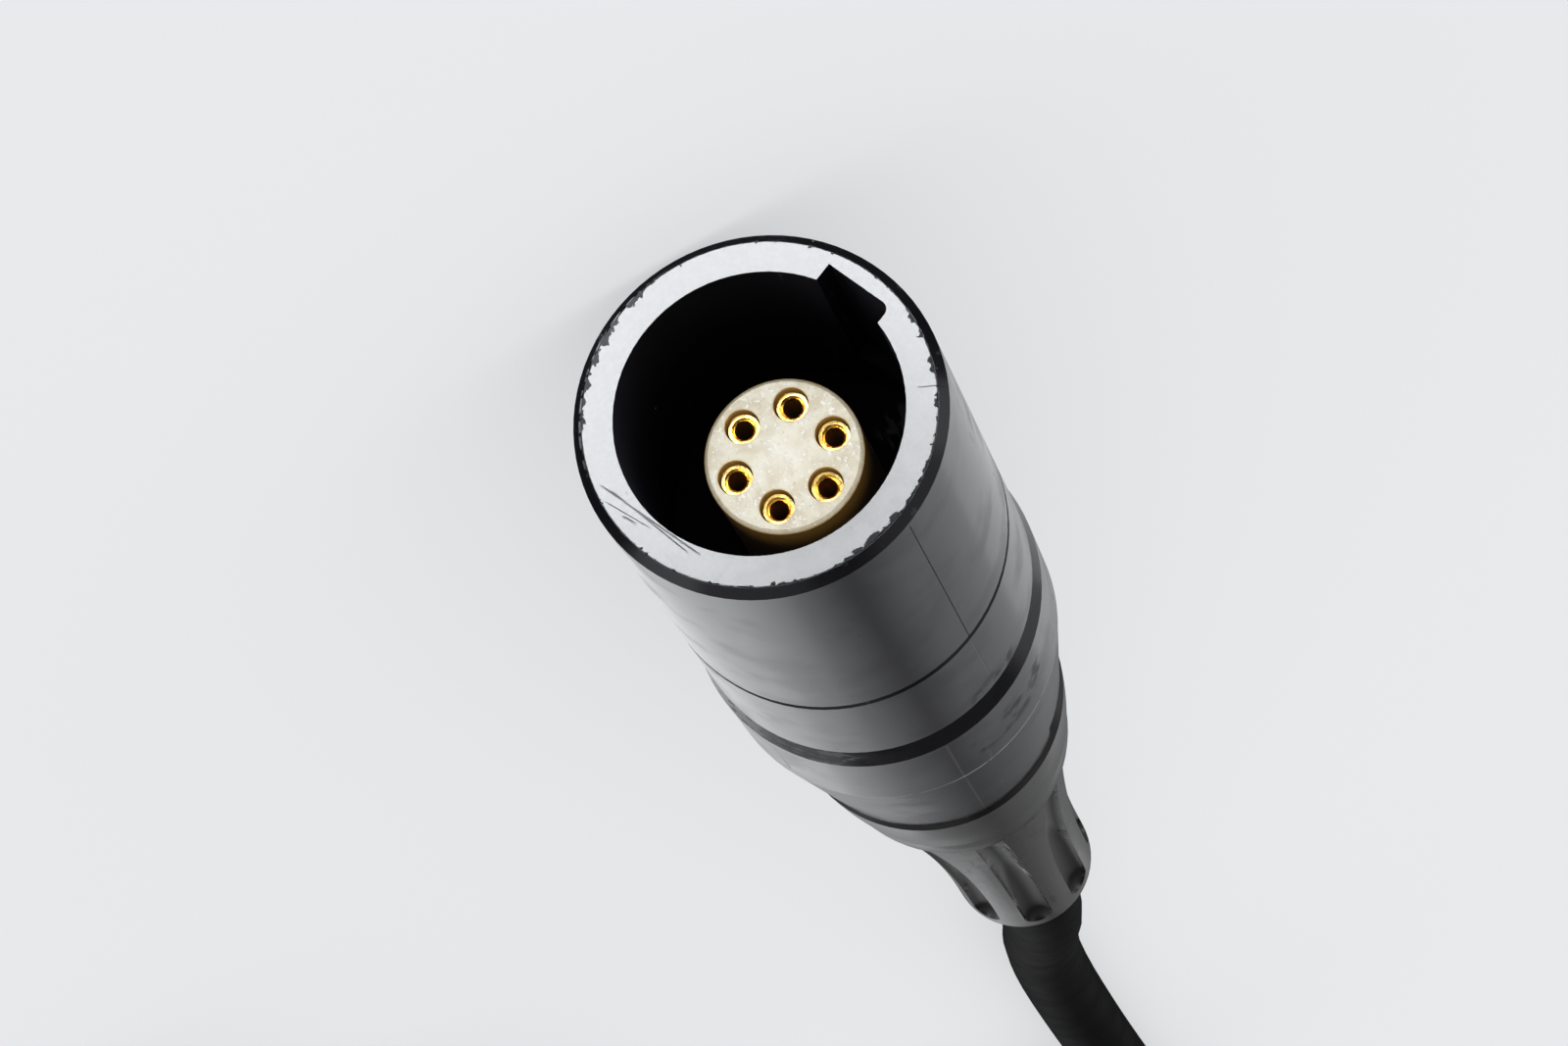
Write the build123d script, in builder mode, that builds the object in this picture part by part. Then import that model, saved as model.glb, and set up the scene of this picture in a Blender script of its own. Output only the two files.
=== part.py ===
# Headset adapter lead: a six-contact in-line socket, its short cord and the four-pole plug at the far end.
# Millimetres. The socket lies on its side, its open face towards -Y, on the surface Z = 0.
# The origin is under the middle of the socket. Depths are measured from the socket's face towards its cord.
import math
import os
from build123d import *

os.makedirs("parts", exist_ok=True)

# Fits
slip = 0.05  # between pieces that slide or screw together
seat = 0.02  # between faces that are tightened onto each other
seam = 0.14  # the dark joint that shows between two outer pieces
edge = 0.15  # small broken edge

# Front shell
shell_r = 7.0
shell_depth = 15.7  # its outside length, up to the joint ring
face_chamfer = 0.40
bore_r = 5.45
bore_depth = 12.0
floor_wall = 1.6
shell_wall = 2.2  # round the contact block, behind the bore
spigot_wall = 1.2
spigot_reach = 11.2  # the spigot that enters the rear body, from the shell's shoulder
key_width = 2.9
key_reach = 6.0  # the keyway's floor, from the axis
key_depth = 9.0
key_turn = -113.8  # seen from the front, clockwise from straight up
key_corner_r = 0.35

# Joint ring
ring_length = 7.0

# Rear body
collar_rise = 0.16  # how far the collar stands out from the shell
collar_lead = 1.35  # sloping front of the collar
collar_drop = 0.34
collar_length = 5.4
collar_back_rise = 0.10
body_taper = 10.12
body_end_r = 5.86
body_wall = 1.9
neck_r = 2.6  # the hole that the wires pass
neck_wall = 1.4
nut_spigot_r = 4.6
nut_spigot_length = 4.15
clamp_bore_r = 3.6
recess_depth = 0.45
recess_length = 2.0
recess_angle = 80.0
recess_turns = (-80.0, 100.0)

# Back nut
nut_round = 0.3
nut_front_r = 5.98
nut_waist_r = 5.42
nut_waist_at = 5.6
nut_bulge = 0.07
nut_barrel_length = 8.4
nut_shoulder_r = 5.05
nut_thread_relief = 0.4
tail_front_r = 4.93
tail_middle_r = 3.75
tail_end_r = 3.34
tail_middle_at = 9.8
tail_narrow_at = 19.4
tail_length = 23.45
tail_round = 1.1
flute_count = 8
flute_turn = 10.6
flute_r = 0.78
flute_depth = 0.5
flute_end_gap = 2.4

# Contact block
block_face_depth = 5.24
nose_r = 3.05
nose_edge_r = 0.15
flange_length = 2.0
rear_block_length = 4.4
retainer_length = 2.0
retainer_wall = 1.3
retainer_slot = 1.0
contact_count = 6
contact_circle_r = 2.0
contact_turn = -25.0
contact_r = 0.60
contact_bore_r = 0.38
contact_bore_depth = 6.0
contact_lead = 0.1
contact_recess = 0.4
contact_hole_gap = 0.08
contact_collar_r = 0.88
contact_collar_length = 0.9
contact_back_r = 0.70
contact_back_reach = 3.4  # behind the rear block
cup_r = 0.50
cup_depth = 2.4

# Wires, clamp and washer
wire_r = 0.44
wire_straight = 5.6
wire_ring_r = 1.0
cord_r = 2.0
cord_entry = 2.2  # from the body's end to the end of the jacket
clamp_length = 7.3
clamp_cone_length = 3.6
clamp_end_r = 2.75
clamp_slots = 4
clamp_slot = 0.5
clamp_slot_length = 4.6
washer_length = 0.6

# Cord: where its pieces begin, and the coil
lead_overlap = 11.9  # the lead begins this far inside the nut
lane_gap = 0.05  # the cord's air above the surface, and between turns
outer_lane_r = 22.0
coil_x = 23.2
coil_y_from_nut = 82.0
lead_bends = (9.0, 33.0, 58.0)  # how far past the nut the lead turns
lead_sway = (1.8, 1.7)  # how far to the side it lies at the last two
tail_bends = (9.0, 20.0)  # how far before the coil's middle the tail turns
channel_gap = 0.6  # the coil's air beside the lead and the tail
tail_reach = 31.0  # from the coil's middle to where the tail ends, inside the boot
plug_x = 41.7
tie_thickness = 0.5
tie_angle = 15.0

# Plug
plug_r = 3.55
plug_band = 3.6
plug_gap = 0.9
plug_sleeve_length = 10.5
plug_tip_length = 6.1
plug_tip_r = 3.1
plug_tip_waist_r = 2.3
plug_tip_nose_r = 0.9
plug_tip_waist_length = 0.76
plug_tip_bulge_at = 2.56
plug_rod_r = 0.8
plug_tube_walls = (0.35, 0.45, 0.35, 0.45, 0.35)
plug_tube_steps = (3.5, 1.5, 2.5, 1.5, 2.5)
plug_rod_back = 17.0
plug_body_length = 4.0
plug_flange_r = 6.0
plug_flange_length = 1.2
tag_reach = 3.9
tag_width = 2.0
tag_length = 0.7
plug_wire_ring_r = 0.95
plug_wire_straight = 0.28  # share of a plug wire's length before its first bend and after its last
tip_disc_r = 1.45
tip_wire_r = 1.0
tag_wire_r = 3.3
sleeve_wire_r = 4.0
tag_turns = (90.0, 210.0)  # seen from the cord's end, clockwise from straight up
sleeve_wire_turn = 330.0
tip_wire_turn = 30.0
barrel_r = 6.6
barrel_wall = 1.0
barrel_length = 34.0
barrel_taper = 6.0
barrel_end_r = 5.0
barrel_end_wall = 3.0
barrel_chamfer = 0.5
barrel_grooves = 5
barrel_groove_pitch = 2.2
barrel_groove_r = 0.45
boot_length = 20.0
boot_front_r = 4.3
boot_end_r = 3.0
boot_neck_r = 3.1
boot_flange_r = 4.4
boot_flange_length = 2.0
boot_slots = 5
boot_slot_width = 1.1
boot_slot_depth = 0.75
boot_bridge = 1.2  # what each slot leaves standing on two sides
boot_bite = 5.5  # the tail's tube ends this far inside the boot
plug_cord_end = 28.0

# Places on the socket's axis, as depths behind its face
ring_at = shell_depth + seam
body_at = ring_at + ring_length + seam
collar_at = body_at + collar_lead
taper_at = collar_at + collar_length
body_end = taper_at + body_taper
nut_at = body_end + seat
shoulder_at = nut_at + nut_barrel_length
nut_end = shoulder_at + tail_length
socket_end = shell_depth + spigot_reach + seam
flange_at = bore_depth + floor_wall
rear_block_at = flange_at + flange_length
retainer_at = rear_block_at + rear_block_length
contact_back = retainer_at + contact_back_reach
wire_start = contact_back - cup_depth + seat
cord_start = body_end + cord_entry
washer_at = body_end - washer_length
clamp_at = body_end + seat
clamp_end = clamp_at + clamp_length

collar_r = shell_r + collar_rise
collar_back_r = shell_r + collar_back_rise
axis_z = max(collar_r, nut_front_r)
face_y = -nut_end / 2
exit_y = nut_end / 2
block_r = shell_r - shell_wall
spigot_r = block_r + spigot_wall
clamp_r = clamp_bore_r - slip
axis_line = Axis((0, 0, axis_z), (0, 1, 0))


def side_plane(turn=90.0):
    """X is the radius and Y the depth, for a profile turned about the socket's axis from this turn."""
    sine, cosine = math.sin(math.radians(turn)), math.cos(math.radians(turn))
    return Plane(origin=(0, face_y, axis_z), x_dir=(sine, 0, cosine), z_dir=(-cosine, 0, sine))


def cross_plane(depth, turn=0.0):
    """A section of the socket at a depth, seen from the front, with its own Y at a clockwise turn."""
    sine, cosine = math.sin(math.radians(turn)), math.cos(math.radians(turn))
    return Plane(origin=(0, face_y + depth, axis_z), x_dir=(cosine, 0, -sine), z_dir=(0, -1, 0))


def around(depth, radius, turn):
    """A point of the socket at a depth, a radius and a clockwise turn from straight up."""
    angle = math.radians(turn)
    return (radius * math.sin(angle), face_y + depth, axis_z + radius * math.cos(angle))


def save(piece, name):
    piece.part.label = name
    export_step(piece.part, f"parts/{name}.step")


def corner_radii(points):
    """The largest radius that each corner of a route takes: 0.45 of its shorter run."""
    radii = []
    for before, here, after in zip(points, points[1:], points[2:]):
        run_in = Vector(*here) - Vector(*before)
        run_out = Vector(*after) - Vector(*here)
        half_turn = math.radians(run_in.get_angle(run_out)) / 2
        radii.append(0.45 * min(run_in.length, run_out.length) / math.tan(half_turn))
    return radii


def tube(name, points, radius):
    """A round tube along straight runs joined by tangent arcs."""
    radii = corner_radii(points)
    with BuildPart() as piece:
        with BuildLine() as route:
            FilletPolyline(*points, radius=radii)
        with BuildSketch(Plane(origin=points[0], z_dir=Vector(*points[1]) - Vector(*points[0]))):
            Circle(radius)
        sweep(path=route.line)
    length = sum(stretch.length for stretch in route.edges())
    wanted = math.pi * radius**2 * length
    print(f"{name}: length {length:.1f}, radii {[round(r, 1) for r in radii]}, "
          f"volume {piece.part.volume:.2f} of {wanted:.2f}")
    save(piece, name)
    return piece


# Front shell: the mating sleeve with its keyway, the floor that carries the contact block, and a spigot
with BuildPart() as front_shell:
    with BuildSketch(side_plane()):
        with BuildLine():
            Polyline(
                (bore_r, 0),
                (shell_r - face_chamfer, 0),
                (shell_r, face_chamfer),
                (shell_r, shell_depth - edge),
                (shell_r - edge, shell_depth),
                (spigot_r, shell_depth),
                (spigot_r, shell_depth + spigot_reach),
                (block_r, shell_depth + spigot_reach),
                (block_r, flange_at),
                (nose_r + slip, flange_at),
                (nose_r + slip, bore_depth),
                (bore_r, bore_depth),
                close=True,
            )
        make_face()
    revolve(axis=axis_line)
    with BuildSketch(cross_plane(0, key_turn)):
        with Locations((0, key_reach / 2)):
            key = Rectangle(key_width, key_reach)
        fillet(key.vertices().group_by(Axis.Y)[-1].sort_by(Axis.X)[-1], key_corner_r)
    extrude(amount=-key_depth, mode=Mode.SUBTRACT)
save(front_shell, "front_shell")

# Joint ring: the plain band between the shell and the collar
with BuildPart() as joint_ring:
    with BuildSketch(side_plane()):
        with BuildLine():
            Polyline(
                (spigot_r + slip, ring_at),
                (shell_r - edge, ring_at),
                (shell_r, ring_at + edge),
                (shell_r, ring_at + ring_length - edge),
                (shell_r - edge, ring_at + ring_length),
                (spigot_r + slip, ring_at + ring_length),
                close=True,
            )
        make_face()
    revolve(axis=axis_line)
save(joint_ring, "joint_ring")

# Rear body: collar and taper, a socket for the shell's spigot, a threaded spigot for the nut, two recesses
chamber_r = body_end_r - body_wall
with BuildPart() as rear_body:
    with BuildSketch(side_plane()):
        with BuildLine():
            Polyline(
                (spigot_r + slip, body_at),
                (collar_r - collar_drop, body_at),
                (collar_r, collar_at),
                (collar_back_r, taper_at),
                (body_end_r, body_end),
                (nut_spigot_r, body_end),
                (nut_spigot_r, body_end + nut_spigot_length),
                (clamp_bore_r, body_end + nut_spigot_length),
                (clamp_bore_r, washer_at),
                (neck_r, washer_at),
                (neck_r, washer_at - neck_wall),
                (chamber_r, washer_at - neck_wall),
                (block_r, socket_end),
                (spigot_r + slip, socket_end),
                close=True,
            )
        make_face()
    revolve(axis=axis_line)
    for turn in recess_turns:
        recess_rise = recess_length * (collar_back_r - body_end_r) / body_taper
        with BuildSketch(side_plane(turn - recess_angle / 2)):
            with BuildLine():
                Polyline(
                    (body_end_r - recess_depth, body_end),
                    (collar_r, body_end),
                    (collar_r, body_end - recess_length),
                    (body_end_r - recess_depth + recess_rise, body_end - recess_length),
                    close=True,
                )
            make_face()
        revolve(axis=axis_line, revolution_arc=recess_angle, mode=Mode.SUBTRACT)
save(rear_body, "rear_body")

# Contact block, front half: the pale nose that stands proud in the bore, with its flange
hole_r = contact_r + contact_hole_gap
contact_turns = [contact_turn + 360 / contact_count * index for index in range(contact_count)]
contact_angles = [math.radians(turn) for turn in contact_turns]
contact_spots = [(contact_circle_r * math.sin(a), contact_circle_r * math.cos(a)) for a in contact_angles]
with BuildPart() as contact_block:
    with BuildSketch(side_plane()):
        with BuildLine():
            Polyline(
                (0, block_face_depth),
                (nose_r - nose_edge_r, block_face_depth),
                (nose_r, block_face_depth + nose_edge_r),
                (nose_r, flange_at + seat),
                (block_r - slip, flange_at + seat),
                (block_r - slip, rear_block_at),
                (0, rear_block_at),
                close=True,
            )
        make_face()
    revolve(axis=axis_line)
    with BuildSketch(cross_plane(block_face_depth)):
        with Locations(*contact_spots):
            Circle(hole_r)
    extrude(amount=block_face_depth - rear_block_at, mode=Mode.SUBTRACT)
    with BuildSketch(cross_plane(rear_block_at)):
        with Locations(*contact_spots):
            Circle(contact_collar_r + slip)
    extrude(amount=contact_collar_length + seat, mode=Mode.SUBTRACT)
save(contact_block, "contact_block")

# Contact block, rear half: it traps the contacts' collars
with BuildPart() as rear_block:
    with BuildSketch(cross_plane(rear_block_at + seat)):
        Circle(block_r - slip)
        with Locations(*contact_spots):
            Circle(contact_back_r + slip, mode=Mode.SUBTRACT)
    extrude(amount=seat - rear_block_length)
save(rear_block, "rear_block")

# Threaded ring that holds the contact block against the shell's floor, with a slot for its driver
with BuildPart() as block_retainer:
    with BuildSketch(cross_plane(retainer_at + seat)):
        Circle(block_r - slip)
        Circle(block_r - slip - retainer_wall, mode=Mode.SUBTRACT)
    extrude(amount=seat - retainer_length)
    with BuildSketch(cross_plane(retainer_at + retainer_length)):
        Rectangle(2 * block_r, retainer_slot)
    extrude(amount=retainer_length / 2, mode=Mode.SUBTRACT)
save(block_retainer, "block_retainer")

# Contacts: a gold tube with a collar in front of its solder cup, and the wire soldered into the cup
contact_face = block_face_depth + contact_recess
collar_front = rear_block_at - contact_collar_length
for index, turn in enumerate(contact_turns, start=1):
    x, y, z = around(0, contact_circle_r, turn)
    with BuildPart() as contact:
        with BuildSketch(Plane(origin=(x, y, z), x_dir=(1, 0, 0), z_dir=(0, 0, 1))):
            with BuildLine():
                Polyline(
                    (contact_bore_r + contact_lead, contact_face),
                    (contact_r, contact_face),
                    (contact_r, collar_front),
                    (contact_collar_r, collar_front),
                    (contact_collar_r, rear_block_at),
                    (contact_back_r, rear_block_at),
                    (contact_back_r, contact_back),
                    (cup_r, contact_back),
                    (cup_r, contact_back - cup_depth),
                    (0, contact_back - cup_depth),
                    (0, contact_face + contact_bore_depth),
                    (contact_bore_r, contact_face + contact_bore_depth),
                    (contact_bore_r, contact_face + contact_lead),
                    close=True,
                )
            make_face()
        revolve(axis=Axis((x, y, z), (0, 1, 0)))
    save(contact, f"contact_{index}")
    tube(
        f"wire_{index}",
        [
            around(wire_start, contact_circle_r, turn),
            around(wire_start + wire_straight, contact_circle_r, turn),
            around(cord_start - wire_straight, wire_ring_r, turn),
            around(cord_start, wire_ring_r, turn),
        ],
        wire_r,
    )

# Washer in front of the clamp
with BuildPart() as clamp_washer:
    with BuildSketch(cross_plane(washer_at + seat)):
        Circle(clamp_bore_r - slip)
        Circle(cord_r + slip, mode=Mode.SUBTRACT)
    extrude(amount=seat - washer_length)
save(clamp_washer, "clamp_washer")

# Cord clamp: a slotted sleeve whose cone the nut squeezes onto the cord
cone_at = clamp_end - clamp_cone_length
with BuildPart() as cord_clamp:
    with BuildSketch(side_plane()):
        with BuildLine():
            Polyline(
                (cord_r + seat, clamp_at),
                (clamp_r, clamp_at),
                (clamp_r, cone_at),
                (clamp_end_r, clamp_end),
                (cord_r + seat, clamp_end),
                close=True,
            )
        make_face()
    revolve(axis=axis_line)
    with BuildSketch(cross_plane(clamp_end)):
        with PolarLocations(clamp_bore_r / 2, clamp_slots):
            Rectangle(clamp_bore_r, clamp_slot)
    extrude(amount=clamp_slot_length, mode=Mode.SUBTRACT)
save(cord_clamp, "cord_clamp")

# Back nut: a barrel over the body's spigot, a cone that closes the clamp and a fluted tail round the cord
thread_end = body_end + nut_spigot_length + nut_thread_relief
cone_slope = (clamp_r - clamp_end_r) / clamp_cone_length
cone_start_r = clamp_r + slip - cone_slope * max(thread_end - cone_at, 0)
with BuildPart() as back_nut:
    with BuildSketch(side_plane()):
        with BuildLine():
            Polyline(
                (nut_spigot_r + slip, nut_at),
                (nut_front_r - nut_round, nut_at),
                (nut_front_r, nut_at + nut_round),
            )
            ThreePointArc(
                (nut_front_r, nut_at + nut_round),
                ((nut_front_r + nut_waist_r) / 2 + nut_bulge, nut_at + nut_waist_at / 2),
                (nut_waist_r, nut_at + nut_waist_at),
            )
            ThreePointArc(
                (nut_waist_r, nut_at + nut_waist_at),
                ((nut_waist_r + nut_shoulder_r) / 2 + nut_bulge, (nut_at + nut_waist_at + shoulder_at) / 2),
                (nut_shoulder_r, shoulder_at),
            )
            Line((nut_shoulder_r, shoulder_at), (tail_front_r, shoulder_at))
            ThreePointArc(
                (tail_front_r, shoulder_at),
                (tail_middle_r, shoulder_at + tail_middle_at),
                (tail_end_r, shoulder_at + tail_narrow_at),
            )
            Line((tail_end_r, shoulder_at + tail_narrow_at), (tail_end_r, nut_end - tail_round))
            ThreePointArc(
                (tail_end_r, nut_end - tail_round),
                (tail_end_r - tail_round * (1 - math.sqrt(0.5)), nut_end - tail_round * (1 - math.sqrt(0.5))),
                (tail_end_r - tail_round, nut_end),
            )
            Polyline(
                (tail_end_r - tail_round, nut_end),
                (cord_r + slip, nut_end),
                (cord_r + slip, clamp_end + slip),
                (clamp_end_r + slip, clamp_end + slip),
                (cone_start_r, thread_end),
                (nut_spigot_r + slip, thread_end),
                (nut_spigot_r + slip, nut_at),
            )
        make_face()
    revolve(axis=axis_line)
    lift = flute_r - flute_depth
    flute_start = shoulder_at + flute_r
    flute_stop = nut_end - flute_end_gap
    for index in range(flute_count):
        turn = flute_turn + 360 / flute_count * index
        with BuildLine(side_plane(turn)) as flute_path:
            ThreePointArc(
                (tail_front_r + lift, flute_start),
                (tail_middle_r + lift, shoulder_at + tail_middle_at),
                (tail_end_r + lift, flute_stop),
            )
        with BuildSketch(Plane(origin=flute_path.line @ 0, z_dir=flute_path.line % 0)):
            Circle(flute_r)
        sweep(path=flute_path.line, mode=Mode.SUBTRACT)
        with Locations(flute_path.line @ 0, flute_path.line @ 1):
            Sphere(flute_r, mode=Mode.SUBTRACT)
save(back_nut, "back_nut")

# Cord inside the socket, as far as the lead
with BuildPart() as cord_socket_end:
    with BuildSketch(cross_plane(cord_start)):
        Circle(cord_r)
    extrude(amount=cord_start - (nut_end - lead_overlap))
save(cord_socket_end, "cord_socket_end")

# Lead: out of the nut, down to the surface and into the coil's outer lane
lane_z = cord_r + lane_gap
coil_y = exit_y + coil_y_from_nut
lead_x = coil_x - outer_lane_r
cord_lead = tube(
    "cord_lead",
    [
        (0, exit_y - lead_overlap, axis_z),
        (0, exit_y + lead_bends[0], axis_z),
        (lead_sway[0], exit_y + lead_bends[1], lane_z),
        (lead_sway[1], exit_y + lead_bends[2], lane_z),
        (lead_x, coil_y, lane_z),
    ],
    cord_r,
)

# Tail: off the coil's upper lane and into the plug's boot
lane_pitch = 2 * cord_r + lane_gap
inner_lane_r = outer_lane_r - lane_pitch
upper_lane_r = outer_lane_r - lane_pitch / 2
upper_lane_z = lane_z + lane_pitch * math.sqrt(0.75)
tail_end_y = coil_y - tail_reach
cord_tail = tube(
    "cord_tail",
    [
        (coil_x + upper_lane_r, coil_y, upper_lane_z),
        (coil_x + upper_lane_r, coil_y - tail_bends[0], upper_lane_z),
        (plug_x, coil_y - tail_bends[1], barrel_r),
        (plug_x, tail_end_y, barrel_r),
    ],
    cord_r,
)


def lanes(radius):
    """The closed outline round the coil's three lanes of cord."""
    spots = [(outer_lane_r, lane_z), (inner_lane_r, lane_z), (upper_lane_r, upper_lane_z)]
    with BuildSketch(mode=Mode.PRIVATE) as outline:
        with Locations(*spots):
            Circle(radius)
        make_hull()
    return outline.sketch


# Coil: two and a half turns, one solid
with BuildPart() as cord_coil:
    with BuildSketch(Plane(origin=(coil_x, coil_y, 0), x_dir=(1, 0, 0), z_dir=(0, -1, 0))):
        add(lanes(cord_r))
    revolve(axis=Axis((coil_x, coil_y, 0), (0, 0, 1)))
    channel = cord_r + channel_gap
    with Locations((lead_x + channel, coil_y, lane_z + channel)):
        Box(
            outer_lane_r,
            outer_lane_r,
            outer_lane_r,
            align=(Align.MAX, Align.MAX, Align.MAX),
            mode=Mode.SUBTRACT,
        )
    with Locations((coil_x + upper_lane_r - channel, coil_y, upper_lane_z - channel)):
        Box(
            outer_lane_r,
            outer_lane_r,
            outer_lane_r,
            align=(Align.MIN, Align.MAX, Align.MIN),
            mode=Mode.SUBTRACT,
        )
save(cord_coil, "cord_coil")

# Tie round the coil's far side
tie_start = math.radians(90 - tie_angle / 2)
with BuildPart() as coil_tie:
    with BuildSketch(
        Plane(
            origin=(coil_x, coil_y, 0),
            x_dir=(math.cos(tie_start), math.sin(tie_start), 0),
            z_dir=(math.sin(tie_start), -math.cos(tie_start), 0),
        )
    ):
        add(lanes(cord_r + seat + tie_thickness))
        add(lanes(cord_r + seat), mode=Mode.SUBTRACT)
        with Locations((outer_lane_r, -outer_lane_r)):
            Rectangle(4 * outer_lane_r, 2 * outer_lane_r, mode=Mode.SUBTRACT)
    revolve(axis=Axis((coil_x, coil_y, 0), (0, 0, 1)), revolution_arc=tie_angle)
save(coil_tie, "coil_tie")

# Plug: places along its axis, counted from the front of its barrel towards the tip
plug_y = tail_end_y + boot_bite - boot_length - barrel_length
plug_line = Axis((plug_x, plug_y, barrel_r), (0, -1, 0))
gap_3_at = plug_sleeve_length
band_2_at = gap_3_at + plug_gap
gap_2_at = band_2_at + plug_band
band_1_at = gap_2_at + plug_gap
gap_1_at = band_1_at + plug_band
tip_at = gap_1_at + plug_gap
tip_end = tip_at + plug_tip_length
tube_radii = [plug_rod_r]
for wall in plug_tube_walls:
    tube_radii.append(tube_radii[-1] + wall)
tube_backs = [-plug_rod_back]
for step in plug_tube_steps:
    tube_backs.append(tube_backs[-1] + step)


def plug_side_plane():
    """X is the radius and Y runs towards the plug's tip."""
    return Plane(origin=(plug_x, plug_y, barrel_r), x_dir=(1, 0, 0), z_dir=(0, 0, -1))


def plug_cross_plane(place, turn=0.0):
    """A section of the plug at a place along it, with its own Y at a turn clockwise from straight up."""
    sine, cosine = math.sin(math.radians(turn)), math.cos(math.radians(turn))
    return Plane(origin=(plug_x, plug_y - place, barrel_r), x_dir=(cosine, 0, -sine), z_dir=(0, -1, 0))


def plug_point(place, radius, turn):
    angle = math.radians(turn)
    return (plug_x + radius * math.sin(angle), plug_y - place, barrel_r + radius * math.cos(angle))


# Tip: a nose and ball on the long rod through the whole plug, with its solder disc
with BuildPart() as plug_tip:
    with BuildSketch(plug_side_plane()):
        with BuildLine():
            Polyline(
                (plug_tip_nose_r, tip_end),
                (0, tip_end),
                (0, -plug_rod_back - tag_length),
                (tip_disc_r, -plug_rod_back - tag_length),
                (tip_disc_r, -plug_rod_back),
                (plug_rod_r, -plug_rod_back),
                (plug_rod_r, tip_at),
                (plug_tip_waist_r, tip_at),
                (plug_tip_waist_r, tip_at + plug_tip_waist_length),
            )
            Spline(
                (plug_tip_waist_r, tip_at + plug_tip_waist_length),
                (plug_tip_r, tip_at + plug_tip_bulge_at),
                (plug_tip_nose_r, tip_end),
                tangents=[(1, 1), (-1, 0.35)],
            )
        make_face()
    revolve(axis=plug_line)
save(plug_tip, "plug_tip")

# The nested insulating and contact tubes behind the tip, each with the ring that shows on the finger
nested = [
    ("plug_insulator_1", gap_1_at, tip_at, None),
    ("plug_ring_1", band_1_at, gap_1_at, tag_turns[0]),
    ("plug_insulator_2", gap_2_at, band_1_at, None),
    ("plug_ring_2", band_2_at, gap_2_at, tag_turns[1]),
    ("plug_insulator_3", gap_3_at, band_2_at, None),
]
for layer, (name, start, stop, tag_turn) in enumerate(nested):
    with BuildPart() as plug_layer:
        with BuildSketch(plug_side_plane()):
            with BuildLine():
                Polyline(
                    (tube_radii[layer] + seat, tube_backs[layer + 1]),
                    (tube_radii[layer + 1], tube_backs[layer + 1]),
                    (tube_radii[layer + 1], start),
                    (plug_r, start),
                    (plug_r, stop),
                    (tube_radii[layer] + seat, stop),
                    close=True,
                )
            make_face()
        revolve(axis=plug_line)
        if tag_turn is not None:
            with BuildSketch(plug_cross_plane(tube_backs[layer + 1], tag_turn)):
                with Locations((0, tag_reach / 2)):
                    Rectangle(tag_width, tag_reach)
                Circle(tube_radii[layer] + seat, mode=Mode.SUBTRACT)
            extrude(amount=tag_length)
    save(plug_layer, name)

# Sleeve: the longest band of the finger, a stop flange and the threaded body inside the barrel
barrel_bore_r = barrel_r - barrel_wall
with BuildPart() as plug_sleeve:
    with BuildSketch(plug_side_plane()):
        with BuildLine():
            Polyline(
                (tube_radii[5] + seat, -plug_body_length),
                (barrel_bore_r - slip, -plug_body_length),
                (barrel_bore_r - slip, seat),
                (plug_flange_r, seat),
                (plug_flange_r, plug_flange_length - edge),
                (plug_flange_r - edge, plug_flange_length),
                (plug_r, plug_flange_length),
                (plug_r, gap_3_at),
                (tube_radii[5] + seat, gap_3_at),
                close=True,
            )
        make_face()
    revolve(axis=plug_line)
save(plug_sleeve, "plug_sleeve")

# Barrel: the cover that is held in the hand, with a few turned grip grooves
neck_hole_r = boot_neck_r + slip
with BuildPart() as plug_barrel:
    with BuildSketch(plug_side_plane()):
        with BuildLine():
            Polyline(
                (barrel_bore_r, 0),
                (barrel_r - barrel_chamfer, 0),
                (barrel_r, -barrel_chamfer),
                (barrel_r, barrel_taper - barrel_length),
                (barrel_end_r, -barrel_length),
                (neck_hole_r, -barrel_length),
                (neck_hole_r, barrel_end_wall - barrel_length),
                (boot_flange_r + slip, barrel_end_wall - barrel_length),
                (boot_flange_r + slip, barrel_end_wall + boot_flange_length - barrel_length),
                (barrel_bore_r, barrel_end_wall + boot_flange_length + barrel_wall - barrel_length),
                close=True,
            )
        make_face()
        with Locations((barrel_r, -barrel_length / 2)):
            with GridLocations(1, barrel_groove_pitch, 1, barrel_grooves):
                Circle(barrel_groove_r, mode=Mode.SUBTRACT)
    revolve(axis=plug_line)
save(plug_barrel, "plug_barrel")

# Boot: the strain relief, with slots cut in turn from each side so that it bends
with BuildPart() as plug_boot:
    with BuildSketch(plug_side_plane()):
        with BuildLine():
            Polyline(
                (cord_r + seat, barrel_end_wall + boot_flange_length - seat - barrel_length),
                (boot_flange_r, barrel_end_wall + boot_flange_length - seat - barrel_length),
                (boot_flange_r, barrel_end_wall + seat - barrel_length),
                (boot_neck_r, barrel_end_wall + seat - barrel_length),
                (boot_neck_r, -barrel_length - seat),
                (boot_front_r, -barrel_length - seat),
                (boot_end_r, -barrel_length - boot_length),
                (cord_r + seat, -barrel_length - boot_length),
                close=True,
            )
        make_face()
    revolve(axis=plug_line)
    slot_pitch = boot_length / (boot_slots + 1)
    for index in range(boot_slots):
        place = -barrel_length - slot_pitch * (index + 1)
        core_r = boot_front_r + (boot_end_r - boot_front_r) * (index + 1) / (boot_slots + 1) - boot_slot_depth
        with BuildSketch(plug_cross_plane(place - boot_slot_width / 2)):
            Rectangle(3 * boot_front_r, 3 * boot_front_r)
            Circle(core_r, mode=Mode.SUBTRACT)
            if index % 2:
                Rectangle(3 * boot_front_r, boot_bridge, mode=Mode.SUBTRACT)
            else:
                Rectangle(boot_bridge, 3 * boot_front_r, mode=Mode.SUBTRACT)
        extrude(amount=boot_slot_width, mode=Mode.SUBTRACT)
save(plug_boot, "plug_boot")

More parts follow.
